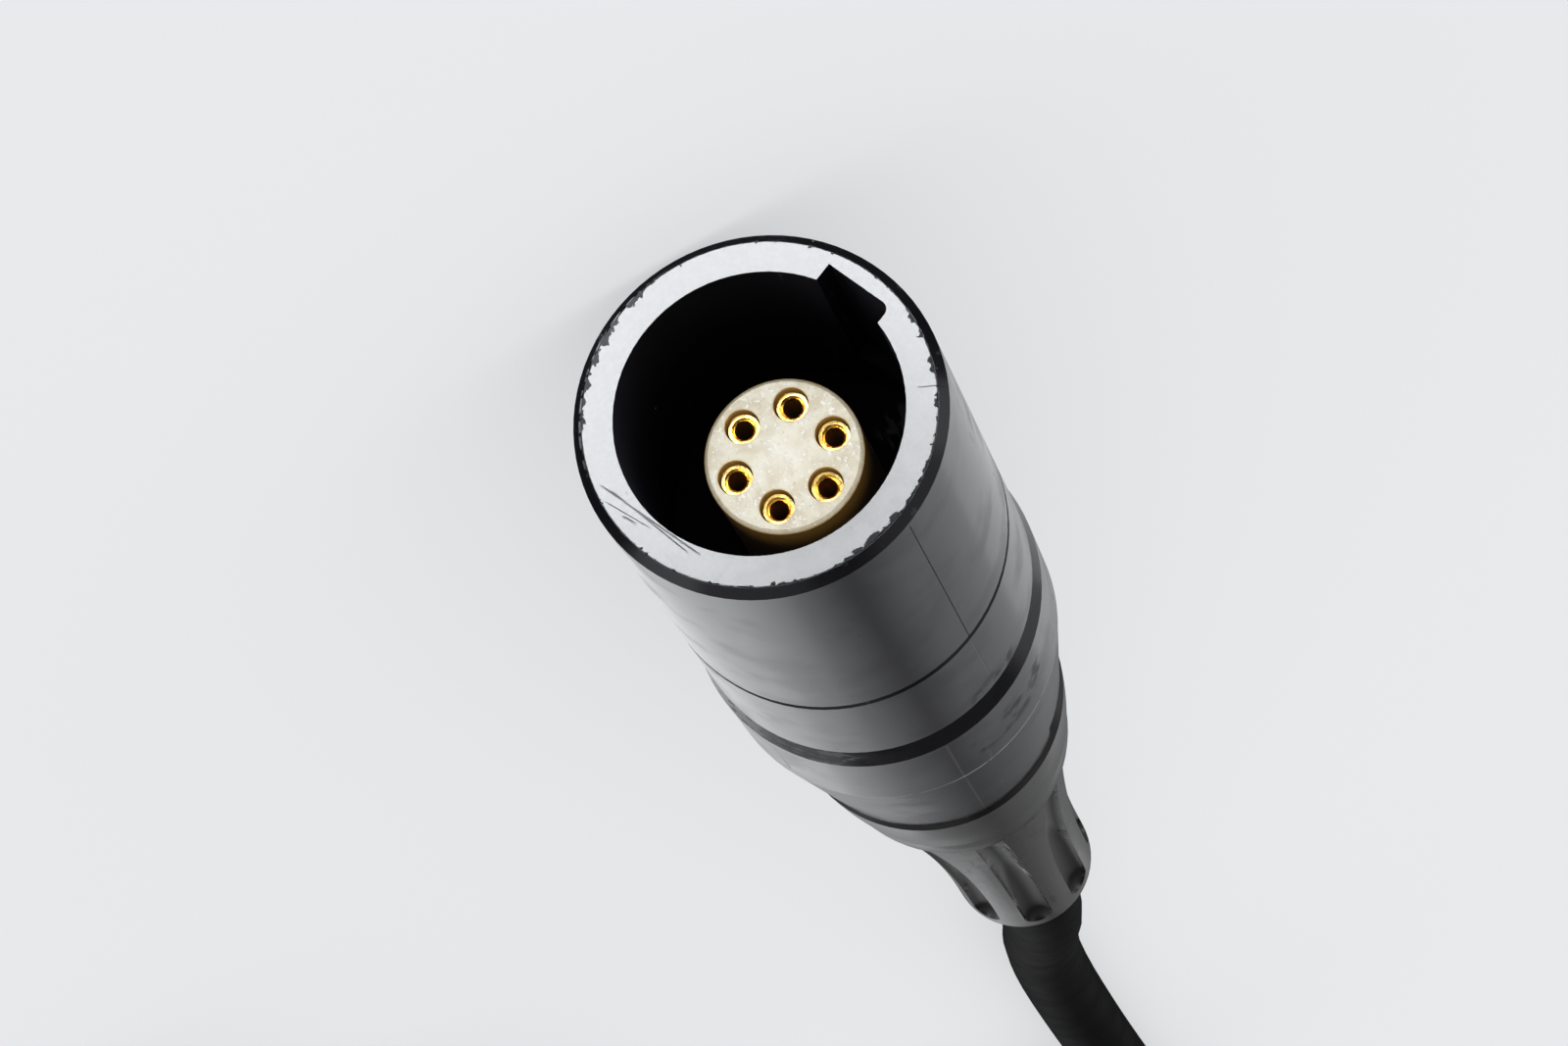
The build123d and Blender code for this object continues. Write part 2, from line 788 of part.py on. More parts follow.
# Cord inside the plug, and its four wires
with BuildPart() as cord_plug_end:
    with BuildSketch(plug_cross_plane(-plug_cord_end)):
        Circle(cord_r)
    extrude(amount=plug_y + plug_cord_end - tail_end_y)
save(cord_plug_end, "cord_plug_end")

solder_spots = [
    (-plug_rod_back - tag_length, tip_wire_r, tip_wire_turn),
    (tube_backs[2], tag_wire_r, tag_turns[0]),
    (tube_backs[4], tag_wire_r, tag_turns[1]),
    (-plug_body_length, sleeve_wire_r, sleeve_wire_turn),
]
for index, (place, radius, turn) in enumerate(solder_spots, start=1):
    bend = plug_wire_straight * (place + plug_cord_end)
    tube(
        f"plug_wire_{index}",
        [
            plug_point(-plug_cord_end, plug_wire_ring_r, turn),
            plug_point(bend - plug_cord_end, plug_wire_ring_r, turn),
            plug_point(place - bend, radius, turn),
            plug_point(place, radius, turn),
        ],
        wire_r,
    )
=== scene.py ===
import math
import bpy
import numpy as np
from mathutils import Euler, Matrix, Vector


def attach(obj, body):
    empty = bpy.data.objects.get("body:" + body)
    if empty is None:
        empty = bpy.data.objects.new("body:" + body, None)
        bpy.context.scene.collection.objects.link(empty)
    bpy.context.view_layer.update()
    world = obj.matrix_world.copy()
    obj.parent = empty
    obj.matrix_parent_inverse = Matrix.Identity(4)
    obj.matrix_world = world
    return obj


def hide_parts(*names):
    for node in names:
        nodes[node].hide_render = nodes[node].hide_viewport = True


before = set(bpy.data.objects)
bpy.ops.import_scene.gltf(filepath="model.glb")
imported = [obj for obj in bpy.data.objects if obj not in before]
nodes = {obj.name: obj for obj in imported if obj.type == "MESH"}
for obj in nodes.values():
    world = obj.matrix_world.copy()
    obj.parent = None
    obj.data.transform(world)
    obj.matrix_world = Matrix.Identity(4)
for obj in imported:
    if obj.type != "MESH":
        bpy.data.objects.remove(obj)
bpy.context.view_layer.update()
print("stage: frame loaded,", len(nodes), "nodes")

mm = 0.001
axisHeight = 7.16      # of the socket's axis above the surface, in millimetres
faceDepth = 35.86      # from the origin forward to the socket's open face

# camera: a long lens in front of the socket and above it, rolled as the photograph is
view = {
    "place": (-0.00187, -0.23337, 0.08129),
    "turn": (-67.9792, -27.1205, 168.6817),
    "lens": 132.75,
    "sensor": 36.0,
}


def makeCamera(v):
    data = bpy.data.cameras.new("camera")
    data.lens = v["lens"]
    data.sensor_width = v["sensor"]
    data.clip_start = 0.005
    data.clip_end = 20.0
    cam = bpy.data.objects.new("camera", data)
    cam.location = v["place"]
    cam.rotation_euler = Euler([math.radians(a) for a in v["turn"]], "XYZ")
    bpy.context.scene.collection.objects.link(cam)
    bpy.context.scene.camera = cam


makeCamera(view)
bpy.context.scene.view_settings.view_transform = "Standard"


# cord: the lead, the coil that is put away, and the tail to the plug, as one line
cordFacts = {
    "diameter": 4.0 * mm,
    "exit": (0, 35.86 * mm, axisHeight * mm),
    "lead": [(0, 6.19, axisHeight), (0, 23.96, axisHeight), (0, 44.86, axisHeight), (1.8, 68.86, 2.05),
             (1.7, 93.86, 2.05)],
    "coilCentre": (23.2, 117.86),
    "outerLane": (22.0, 2.05),     # radius and height of each lane's middle
    "innerLane": (17.95, 2.05),
    "upperLane": (19.975, 5.56),
    "crossing": (20.0, 6.25),      # where the top turn goes over the one that moves inwards
    "pointsPerTurn": 24,
    "tail": [(43.175, 108.86, 6.3), (41.7, 97.86, 6.6), (41.7, 86.86, 6.6), (41.7, 66.36, 6.6)],
}


def coilLane(c, turned):
    # radius and height of the cord after so many degrees of the coil, eased from lane to lane
    stops = [(0, *c["outerLane"]), (295, *c["outerLane"]), (348, *c["innerLane"]), (610, *c["innerLane"]),
             (660, *c["upperLane"]), (690, *c["crossing"]), (715, *c["crossing"]), (740, *c["upperLane"]),
             (900, *c["upperLane"])]
    at = [s[0] for s in stops]
    radius = np.interp(turned, at, [s[1] for s in stops])
    height = np.interp(turned, at, [s[2] for s in stops])
    return radius, height


def makeCord(c):
    cx, cy = c["coilCentre"]
    turned = np.linspace(0, 900, int(2.5 * c["pointsPerTurn"]) + 1)
    radius, height = coilLane(c, turned)
    radius = radius * (1 + (1 - math.cos(math.pi / c["pointsPerTurn"])) * 0.75)
    angle = np.radians(180 - turned)
    coil = np.stack([cx + radius * np.cos(angle), cy + radius * np.sin(angle), height], 1)
    points = np.array(c["lead"] + [tuple(p) for p in coil] + c["tail"]) * mm
    curve = bpy.data.curves.new("cord", "CURVE")
    curve.dimensions = "3D"
    line = curve.splines.new("NURBS")
    line.points.add(len(points) - 1)
    line.points.foreach_set("co", np.column_stack([points, np.ones(len(points))]).ravel())
    line.points.foreach_set("radius", np.full(len(points), c["diameter"] / 2))
    line.order_u = 3
    line.use_endpoint_u = True
    line.resolution_u = 6
    curve.bevel_depth = 1.0          # the points' own radius gives the thickness
    curve.bevel_resolution = 7
    curve.use_fill_caps = True
    cord = bpy.data.objects.new("cord", curve)
    bpy.context.scene.collection.objects.link(cord)
    return cord


def lineLength(obj):
    # the curve's own length, read from its line with no thickness
    plain = obj.copy()
    plain.data = obj.data.copy()
    plain.data.bevel_depth = 0
    bpy.context.scene.collection.objects.link(plain)
    bpy.context.view_layer.update()
    mesh = bpy.data.meshes.new_from_object(plain)
    co = np.zeros(len(mesh.vertices) * 3)
    mesh.vertices.foreach_get("co", co)
    co = co.reshape(-1, 3)
    bpy.data.objects.remove(plain)
    bpy.data.meshes.remove(mesh)
    return float(np.linalg.norm(np.diff(co, axis=0), axis=1).sum())


cord = makeCord(cordFacts)
cordLength = lineLength(cord)
plugNodes = [name for name in nodes if name.startswith("plug_")]
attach(cord, "root")
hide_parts("cord_socket_end", "cord_lead", "cord_coil", "cord_tail", "cord_plug_end")
print("stage: cord made,", round(cordLength, 4), "m long")


# material helpers: every pattern is read from Object coordinates, in millimetres
class Graph:
    def __init__(self, name, color, roughness, metallic=0.0, ior=1.5, gloss=0.5):
        self.material = bpy.data.materials.new(name)
        self.material.use_nodes = True
        self.tree = self.material.node_tree
        self.shader = self.tree.nodes["Principled BSDF"]
        self.shader.inputs["Base Color"].default_value = (*color, 1)
        self.shader.inputs["Roughness"].default_value = roughness
        self.shader.inputs["Metallic"].default_value = metallic
        self.shader.inputs["IOR"].default_value = ior
        self.shader.inputs["Specular IOR Level"].default_value = gloss
        self.spot = None

    def add(self, kind, **settings):
        node = self.tree.nodes.new(kind)
        for key, value in settings.items():
            setattr(node, key, value)
        return node

    def wire(self, value, target):
        # a socket is linked, and a number or a colour is written in
        if isinstance(value, bpy.types.NodeSocket):
            self.tree.links.new(value, target)
        elif target.type == "RGBA":
            target.default_value = (*value, 1)
        else:
            target.default_value = value

    def put(self, name, value):
        self.wire(value, self.shader.inputs[name])

    def math(self, operation, a, b=0.0):
        node = self.add("ShaderNodeMath", operation=operation)
        self.wire(a, node.inputs[0])
        self.wire(b, node.inputs[1])
        return node.outputs[0]

    def plus(self, a, b):
        return self.math("ADD", a, b)

    def minus(self, a, b):
        return self.math("SUBTRACT", a, b)

    def times(self, *values):
        result = values[0]
        for value in values[1:]:
            result = self.math("MULTIPLY", result, value)
        return result

    def most(self, *values):
        result = values[0]
        for value in values[1:]:
            result = self.math("MAXIMUM", result, value)
        return result

    def point(self):
        if self.spot is None:
            where = self.add("ShaderNodeTexCoord")
            scaled = self.add("ShaderNodeVectorMath", operation="SCALE")
            self.wire(where.outputs["Object"], scaled.inputs[0])
            scaled.inputs["Scale"].default_value = 1000.0
            self.spot = scaled.outputs[0]
        return self.spot

    def parts(self):
        split = self.add("ShaderNodeSeparateXYZ")
        self.wire(self.point(), split.inputs[0])
        return split.outputs

    def round(self):
        # radius from the socket's axis, and turn clockwise from straight up, in degrees
        x, y, z = self.parts()
        up = self.minus(z, axisHeight)
        radius = self.math("SQRT", self.plus(self.times(x, x), self.times(up, up)))
        return radius, self.times(self.math("ARCTAN2", x, up), 180 / math.pi)

    def depth(self):
        # how far behind the socket's face
        return self.plus(self.parts()[1], faceDepth)

    def step(self, value, low, high):
        # eases from 0 at low to 1 at high, and low may be the larger
        node = self.add("ShaderNodeMapRange", interpolation_type="SMOOTHSTEP")
        self.wire(value, node.inputs["Value"])
        node.inputs["From Min"].default_value = min(low, high)
        node.inputs["From Max"].default_value = max(low, high)
        node.inputs["To Min"].default_value = 0.0 if low < high else 1.0
        node.inputs["To Max"].default_value = 1.0 if low < high else 0.0
        return node.outputs["Result"]

    def band(self, value, low, high, soft):
        # 1 between low and high, eased over soft at both ends
        rise = self.step(value, low - soft, low + soft)
        return self.times(rise, self.step(value, high + soft, high - soft))

    def ramp(self, value, low, high, stops):
        # a line through stops of (value, height)
        node = self.add("ShaderNodeMapRange")
        self.wire(value, node.inputs["Value"])
        node.inputs["From Min"].default_value = low
        node.inputs["From Max"].default_value = high
        bar = self.add("ShaderNodeValToRGB")
        self.wire(node.outputs["Result"], bar.inputs[0])
        elements = bar.color_ramp.elements    # the first and last stops stand at low and high
        for at, height in stops:
            if at == low:
                element = elements[0]
            elif at == high:
                element = elements[-1]
            else:
                element = elements.new((at - low) / (high - low))
            element.color = (height, height, height, 1)
        return bar.outputs[0]

    def moved(self, stretch, seed):
        mapping = self.add("ShaderNodeMapping")
        self.wire(self.point(), mapping.inputs["Vector"])
        mapping.inputs["Scale"].default_value = stretch
        mapping.inputs["Location"].default_value = (seed, seed * 0.7, seed * 1.3)
        return mapping.outputs[0]

    def noise(self, scale, detail=2.0, stretch=(1, 1, 1), seed=0.0):
        # scale is in waves to the millimetre
        node = self.add("ShaderNodeTexNoise")
        self.wire(self.moved(stretch, seed), node.inputs["Vector"])
        node.inputs["Scale"].default_value = scale
        node.inputs["Detail"].default_value = detail
        return node.outputs[0]

    def specks(self, scale, size, share, seed=0.0):
        # round spots in some of the cells of a random net; scale is in cells to the millimetre
        net = self.add("ShaderNodeTexVoronoi")
        self.wire(self.moved((1, 1, 1), seed), net.inputs["Vector"])
        net.inputs["Scale"].default_value = scale
        tone = self.add("ShaderNodeSeparateXYZ")
        self.wire(net.outputs["Color"], tone.inputs[0])
        return self.times(self.step(net.outputs["Distance"], size, size * 0.5),
                          self.math("LESS_THAN", tone.outputs[0], share))

    def stroke(self, start, end, width):
        # a thin line on the face from one (x, z) to another, z counted from the socket's axis
        x, y, z = self.parts()
        length = math.dist(start, end)
        ux = (end[0] - start[0]) / length
        uz = (end[1] - start[1]) / length
        right = self.minus(x, start[0])
        up = self.minus(z, start[1] + axisHeight)
        along = self.plus(self.times(right, ux), self.times(up, uz))
        aside = self.minus(self.times(up, ux), self.times(right, uz))
        return self.times(self.step(self.math("ABSOLUTE", aside), width, width * 0.3),
                          self.band(along, 0.0, length, 0.15))

    def color(self, factor, a, b):
        node = self.add("ShaderNodeMix", data_type="RGBA")
        self.wire(factor, node.inputs[0])
        self.wire(a, node.inputs[6])
        self.wire(b, node.inputs[7])
        return node.outputs[2]

    def blend(self, factor, a, b):
        node = self.add("ShaderNodeMix", data_type="FLOAT")
        self.wire(factor, node.inputs[0])
        self.wire(a, node.inputs[2])
        self.wire(b, node.inputs[3])
        return node.outputs[0]

    def bump(self, height, distance):
        # distance is what a height of 1 raises, in millimetres
        node = self.add("ShaderNodeBump")
        node.inputs["Strength"].default_value = 1.0
        node.inputs["Distance"].default_value = distance * mm
        self.wire(height, node.inputs["Height"])
        self.wire(node.outputs["Normal"], self.shader.inputs["Normal"])


def dress(material, *names):
    for name in names:
        data = nodes[name].data
        data.materials.clear()
        data.materials.append(material)


# black plastic of the shell, the ring and the rear body
blackParts = {
    "color": (0.0040, 0.0038, 0.0058),
    "dust": (0.30, 0.30, 0.29),
    "scuff": (0.045, 0.045, 0.047),
    "stain": (0.010, 0.010, 0.011),
    "roughness": 0.13,
    "dullRoughness": 0.24,
    # the face's pale grey: partly wear haze, partly a painted reflection
    "faceWearAndPaintedReflection": (0.15, 0.155, 0.16),
    "scratch": (0.05, 0.05, 0.052),
    "faceRoughness": 0.15,
    "seamTurn": -23.4,       # the mould's parting line
}


def blackBase(name, b):
    # dull patches, hair-thin scuffs and dust over gloss
    g = Graph(name, b["color"], b["roughness"])
    patches = g.step(g.noise(0.35, 3.0, seed=4.0), 0.42, 0.66)
    scuffs = g.times(g.step(g.noise(1.6, 4.0, (1, 0.12, 1), 9.0), 0.66, 0.72), 0.55)
    dust = g.most(g.specks(1.1, 0.055, 0.10, 3.0), g.specks(2.6, 0.06, 0.05, 8.0))
    color = g.color(scuffs, b["color"], b["scuff"])
    color = g.color(dust, color, b["dust"])
    rough = g.blend(patches, b["roughness"], b["dullRoughness"])
    rough = g.most(rough, g.times(scuffs, 0.5), g.times(dust, 0.9))
    waves = g.times(g.noise(0.45, 2.0, seed=2.0), 0.14)
    height = g.plus(waves, g.times(g.noise(14.0, 2.0, seed=6.0), 0.012))
    return g, color, rough, height


def shellPlastic(b):
    g, color, rough, height = blackBase("frontShell", b)
    radius, turn = g.round()
    depth = g.depth()
    face = g.times(g.step(depth, 0.05, 0.02), g.step(radius, 5.40, 5.44))

    # chips where the face meets its chamfer, deepest at a few turns
    wear = g.ramp(turn, -180, 180, [(-180, 0.25), (-160, 0.35), (-153, 0.75), (-146, 0.2), (-100, 0.1),
                                    (-86, 0.6), (-70, 0.45), (-50, 0.6), (-34, 0.35), (-22, 0.95), (-4, 1.0),
                                    (8, 0.45), (22, 0.6), (34, 0.35), (60, 0.1), (95, 0.25), (120, 0.6),
                                    (148, 0.95), (162, 0.6), (180, 0.25)])
    inward = g.math("MAXIMUM", g.minus(6.62, radius), 0.0)
    reach = g.minus(g.times(wear, 0.235), g.plus(0.60, g.times(inward, 1.1)))
    ragged = g.plus(g.noise(3.4, 5.0, seed=1.0), reach)
    chips = g.times(g.step(ragged, 0.0, 0.03), g.step(depth, 0.05, 0.02), g.step(radius, 6.0, 6.1))

    # scratches at the right of the face, seen from the front, and fine pores all over it
    lines = g.most(g.stroke((6.30, -0.45), (4.40, 3.62), 0.035), g.stroke((6.05, -0.05), (4.75, 3.30), 0.028),
                   g.stroke((6.42, 0.20), (5.55, 1.75), 0.024), g.stroke((6.12, 1.02), (5.92, 1.38), 0.05),
                   g.stroke((-5.6, 2.2), (-6.35, 2.55), 0.02))
    pores = g.most(g.specks(3.2, 0.10, 0.10, 5.0), g.specks(6.0, 0.12, 0.06, 7.0))
    haze = g.step(g.noise(2.2, 4.0, seed=12.0), 0.30, 0.75)

    # the face's pale grey is partly wear haze and partly a painted reflection of the light on the face
    faceWearAndPaintedReflection = g.color(haze, tuple(v * 0.8 for v in b["faceWearAndPaintedReflection"]), tuple(v * 1.2 for v in b["faceWearAndPaintedReflection"]))
    faceWearAndPaintedReflection = g.color(g.times(lines, 0.5), faceWearAndPaintedReflection, b["scratch"])
    faceWearAndPaintedReflection = g.color(g.most(chips, g.times(pores, 0.8)), faceWearAndPaintedReflection, b["color"])
    faceRough = g.blend(haze, b["faceRoughness"], b["faceRoughness"] + 0.03)
    faceRough = g.most(faceRough, g.times(lines, 0.5), g.times(chips, 0.9), g.times(pores, 0.7))

    # a pale line round the chamfer's inner edge, a painted highlight, and scuffs on the bore's floor
    wearAndPaintedHighlight = g.times(g.band(radius, 6.66, 6.74, 0.02), g.step(depth, 0.4, 0.3), g.step(depth, 0.02, 0.04),
                     g.band(turn, 105, 172, 12), g.step(g.noise(2.5, 3.0, seed=15.0), 0.42, 0.55))
    floorScuff = g.times(g.step(depth, 11.9, 11.98), g.band(turn, -114, -98, 3),
                         g.band(radius, 3.7, 5.3, 0.2),
                         g.step(g.noise(2.8, 4.0, (1, 1, 0.35), 18.0), 0.50, 0.60))
    # the pale line round the chamfer is a painted highlight
    color = g.color(wearAndPaintedHighlight, color, (0.34, 0.34, 0.34))
    color = g.color(g.times(floorScuff, 0.6), color, (0.10, 0.10, 0.11))

    # the mould's parting line along the outside
    parting = g.times(g.step(g.math("ABSOLUTE", g.minus(turn, b["seamTurn"])), 0.30, 0.12),
                      g.step(depth, 0.5, 0.8), g.step(radius, 6.9, 6.95))
    g.put("Base Color", g.color(face, color, faceWearAndPaintedReflection))
    bore = g.times(g.step(radius, 6.5, 6.4), g.step(depth, 0.02, 0.06))
    rough = g.most(rough, g.times(parting, 0.6), g.times(wearAndPaintedHighlight, 0.6), g.times(bore, 0.75))
    g.put("Roughness", g.blend(face, rough, faceRough))
    g.put("Specular IOR Level", g.blend(bore, 0.5, 0.04))
    height = g.minus(g.times(height, g.minus(1.0, face)), g.plus(g.times(parting, 0.5), g.times(chips, 8.0)))
    g.bump(g.minus(height, g.times(lines, 1.5)), 0.012)
    return g.material


def ringPlastic(b):
    g, color, rough, height = blackBase("jointRing", b)
    turn = g.round()[1]
    depth = g.depth()
    # a dull stain at the ring's rear edge
    stain = g.times(g.band(turn, -40, -12, 6), g.step(depth, 20.0, 22.2),
                    g.step(g.noise(0.9, 5.0, seed=21.0), 0.34, 0.66))
    g.put("Base Color", g.color(g.times(stain, 0.7), color, b["stain"]))
    g.put("Roughness", g.most(rough, g.times(stain, 0.44)))
    parting = g.step(g.math("ABSOLUTE", g.minus(turn, b["seamTurn"])), 0.25, 0.10)
    g.bump(g.minus(height, g.times(parting, 0.4)), 0.012)
    return g.material


def bodyPlastic(b):
    g, color, rough, height = blackBase("rearBody", b)
    turn = g.round()[1]
    depth = g.depth()
    # the collar's sloping front is rubbed where the picture's left side shows it
    slope = g.times(g.step(depth, 24.45, 24.3), g.step(depth, 22.9, 23.0))
    wearAndPaintedHighlight = g.times(slope, g.band(turn, 32, 84, 8), g.step(g.noise(1.8, 5.0, (1, 2.5, 1), 23.0), 0.52, 0.60))
    stain = g.times(g.band(turn, -46, -4, 6), g.band(depth, 25.6, 28.6, 0.8),
                    g.step(g.noise(0.8, 5.0, seed=26.0), 0.36, 0.68))
    # a painted highlight along the mould edge where the collar ends, strongest to one side
    clear = g.ramp(turn, -180, 180, [(-180, 0.1), (-60, 0.2), (-38, 0.9), (0, 0.9), (8, 0.35), (45, 0.3),
                                     (60, 0.1), (180, 0.1)])
    paintedEdgeHighlight = g.times(g.band(depth, 29.66, 29.82, 0.05), clear, g.step(g.noise(1.2, 3.0, seed=29.0), 0.36, 0.5))
    color = g.color(g.times(stain, 0.7), color, b["stain"])
    color = g.color(g.times(wearAndPaintedHighlight, 0.8), color, (0.14, 0.14, 0.14))
    # the pale mould edge is a painted highlight
    g.put("Base Color", g.color(g.times(paintedEdgeHighlight, 0.8), color, (0.40, 0.40, 0.40)))
    g.put("Roughness", g.most(rough, g.times(slope, 0.16), g.times(stain, 0.44), g.times(wearAndPaintedHighlight, 0.7),
                              g.times(paintedEdgeHighlight, 0.5)))
    parting = g.times(g.step(g.math("ABSOLUTE", g.minus(turn, 1.2)), 0.35, 0.12), g.step(depth, 24.4, 24.6))
    g.bump(g.minus(height, g.times(parting, 0.5)), 0.012)
    return g.material


dress(shellPlastic(blackParts), "front_shell")
dress(ringPlastic(blackParts), "joint_ring")
dress(bodyPlastic(blackParts), "rear_body")
print("stage: black plastic made")


# back nut: the same black, a little duller and browner, with grime in its flutes
nutFinish = {
    "color": (0.0060, 0.0050, 0.0046),
    "grime": (0.016, 0.014, 0.012),
    "dust": (0.25, 0.24, 0.22),
    "roughness": 0.15,
}


def nutPlastic(n):
    g = Graph("nutPlastic", n["color"], n["roughness"])
    radius = g.round()[0]
    depth = g.depth()
    cloud = g.step(g.noise(0.55, 4.0, seed=31.0), 0.35, 0.70)
    low = g.times(g.step(radius, 3.45, 3.05), g.step(depth, 49.0, 50.5))
    wiped = g.times(g.step(g.noise(1.3, 4.0, (1, 0.2, 1), 33.0), 0.56, 0.66), g.step(depth, 48.0, 49.0))
    dust = g.specks(1.5, 0.06, 0.14, 35.0)
    color = g.color(g.times(g.most(cloud, low), 0.5), n["color"], n["grime"])
    g.put("Base Color", g.color(g.times(dust, 0.8), color, n["dust"]))
    g.put("Roughness", g.most(g.blend(cloud, n["roughness"], n["roughness"] + 0.08), g.times(low, 0.5),
                              g.times(wiped, 0.30), g.times(dust, 0.9)))
    waves = g.times(g.noise(0.8, 3.0, seed=37.0), 0.25)
    g.bump(g.plus(waves, g.times(g.noise(9.0, 2.0, seed=38.0), 0.05)), 0.02)
    return g.material


dress(nutPlastic(nutFinish), "back_nut")
print("stage: back nut made")


# contact block: pale filled resin with bright grains; its walls carry a painted amber glow and painted brown
# shade
blockFinish = {
    "pale": (0.83, 0.79, 0.66),
    "grain": (0.98, 0.96, 0.88),
    "dark": (0.60, 0.52, 0.36),
    "paintedHoleShade": (0.66, 0.52, 0.25),
    "paintedRimShade": (0.70, 0.58, 0.32),
    "paintedAmberGlow": (0.36, 0.19, 0.035),
    "paintedBrownShade": (0.035, 0.016, 0.006),
    "contactTurn": 25.0,       # of the first contact, clockwise from straight up
    "contactCircle": 2.0,      # radius that the contacts stand on
}


def contactFold(g, f):
    # distance from the middle of the nearest of the six contacts, found by folding the turn into one sixth
    radius, turn = g.round()
    folded = g.minus(g.math("FLOORED_MODULO", g.plus(turn, f["contactTurn"] + 30.0), 60.0), 30.0)
    angle = g.times(folded, math.pi / 180)
    side = g.times(radius, g.math("SINE", angle))
    out = g.minus(g.times(radius, g.math("COSINE", angle)), f["contactCircle"])
    return g.math("SQRT", g.plus(g.times(side, side), g.times(out, out))), radius


def blockResin(f):
    g = Graph("blockResin", f["pale"], 0.5)
    near, radius = contactFold(g, f)
    depth = g.depth()
    mottle = g.step(g.noise(1.7, 5.0, seed=41.0), 0.32, 0.68)
    grains = g.step(g.noise(7.0, 3.0, seed=43.0), 0.55, 0.68)
    pits = g.step(g.noise(9.0, 3.0, seed=45.0), 0.40, 0.30)
    color = g.color(g.times(mottle, 0.70), f["pale"], f["dark"])
    color = g.color(g.times(grains, 0.85), color, f["grain"])
    color = g.color(g.times(pits, 0.65), color, f["dark"])
    # paler towards the middle of the face: a painted highlight
    color = g.color(g.times(g.step(radius, 1.6, 0.1), 0.35), color, f["grain"])
    # painted warm shade round each hole and at the rim
    color = g.color(g.times(g.step(near, 0.80, 0.66), 0.45), color, f["paintedHoleShade"])
    color = g.color(g.times(g.step(radius, 2.78, 3.0), 0.35), color, f["paintedRimShade"])
    # walls: a painted amber glow just behind the face, then painted brown shade deeper down
    wall = g.step(depth, 5.30, 5.42)
    color = g.color(wall, color, g.color(g.step(depth, 5.45, 7.4), f["paintedAmberGlow"], f["paintedBrownShade"]))
    g.put("Base Color", color)
    g.put("Roughness", g.blend(grains, 0.55, 0.36))
    g.bump(g.plus(g.times(mottle, 0.4), g.plus(grains, g.times(pits, -0.8))), 0.012)
    return g.material


goldFinish = {
    "gold": (1.0, 0.71, 0.22),
    "tarnish": (0.80, 0.42, 0.09),
    "paintedMouthShade": (0.36, 0.11, 0.03),
    "paintedBottomShade": (0.03, 0.008, 0.003),
}


def contactGold(c, f):
    # gold with turning marks, and painted red-brown shade down the bore
    g = Graph("contactGold", c["gold"], 0.22, metallic=1.0)
    near = contactFold(g, f)[0]
    depth = g.depth()
    paintedBoreShade = g.times(g.step(near, 0.41, 0.37), g.step(depth, 5.75, 6.1))
    tarnish = g.step(g.noise(2.2, 4.0, seed=51.0), 0.50, 0.75)
    color = g.color(g.times(tarnish, 0.5), c["gold"], c["tarnish"])
    # the red-brown to near black down each bore is painted shade
    g.put("Base Color", g.color(paintedBoreShade, color, g.color(g.step(depth, 6.0, 8.0), c["paintedMouthShade"], c["paintedBottomShade"])))
    g.put("Roughness", g.blend(paintedBoreShade, g.blend(tarnish, 0.16, 0.30), 0.45))
    g.bump(g.noise(3.0, 3.0, (1, 6, 1), 53.0), 0.01)
    return g.material


dress(blockResin(blockFinish), "contact_block", "rear_block")
dress(contactGold(goldFinish, blockFinish), *[f"contact_{i}" for i in range(1, 7)])
print("stage: contact block and contacts made")


# cord jacket and the other flexible plastics
softFinish = {
    "cord": (0.0022, 0.0021, 0.0026),
    "boot": (0.012, 0.012, 0.013),
    "strap": (0.022, 0.022, 0.024),
}


def jacketRubber(name, color, roughness):
    g = Graph(name, color, roughness, ior=1.10)     # the low index keeps a matt cord dark at its edges
    blotch = g.step(g.noise(0.4, 4.0, seed=61.0), 0.35, 0.70)
    grit = g.noise(5.0, 3.0, seed=63.0)
    dust = g.specks(1.3, 0.06, 0.10, 65.0)
    tone = g.color(blotch, tuple(v * 0.85 for v in color), tuple(v * 1.25 for v in color))
    g.put("Base Color", g.color(g.times(dust, 0.6), tone, (0.10, 0.10, 0.10)))
    g.put("Roughness", g.blend(blotch, roughness - 0.03, roughness + 0.04))
    g.bump(g.plus(g.times(grit, 0.5), g.times(g.noise(1.0, 2.0, seed=67.0), 0.15)), 0.012)
    return g.material


cord.data.materials.append(jacketRubber("cordJacket", softFinish["cord"], 0.62))
dress(jacketRubber("bootRubber", softFinish["boot"], 0.58), "plug_boot")


def wovenStrap(name, color):
    # ribs along the strap and threads across it
    g = Graph(name, color, 0.8)
    x, y, z = g.parts()
    cx, cy = cordFacts["coilCentre"]
    turn = g.times(g.math("ARCTAN2", g.minus(y, cy), g.minus(x, cx)), 180 / math.pi)
    threads = g.math("SINE", g.times(turn, 9.0))
    ribs = g.math("SINE", g.times(g.plus(z, x), 8.0))
    weave = g.plus(g.times(threads, 0.25), g.plus(g.times(ribs, 0.25), 0.5))
    g.put("Base Color", g.color(weave, tuple(v * 0.5 for v in color), tuple(v * 1.6 for v in color)))
    g.bump(weave, 0.06)
    return g.material


dress(wovenStrap("tieStrap", softFinish["strap"]), "coil_tie")
print("stage: cord and tie dressed")


# plug and the pieces inside, in finishes that a repairer would expect
innerFinish = {
    "plated": (0.78, 0.77, 0.74),
    "brass": (0.72, 0.52, 0.22),
    "steel": (0.60, 0.60, 0.62),
    "clamp": (0.76, 0.75, 0.70),
    "barrel": (0.0065, 0.0065, 0.0072),
    "insulation": (0.015, 0.015, 0.016),
}


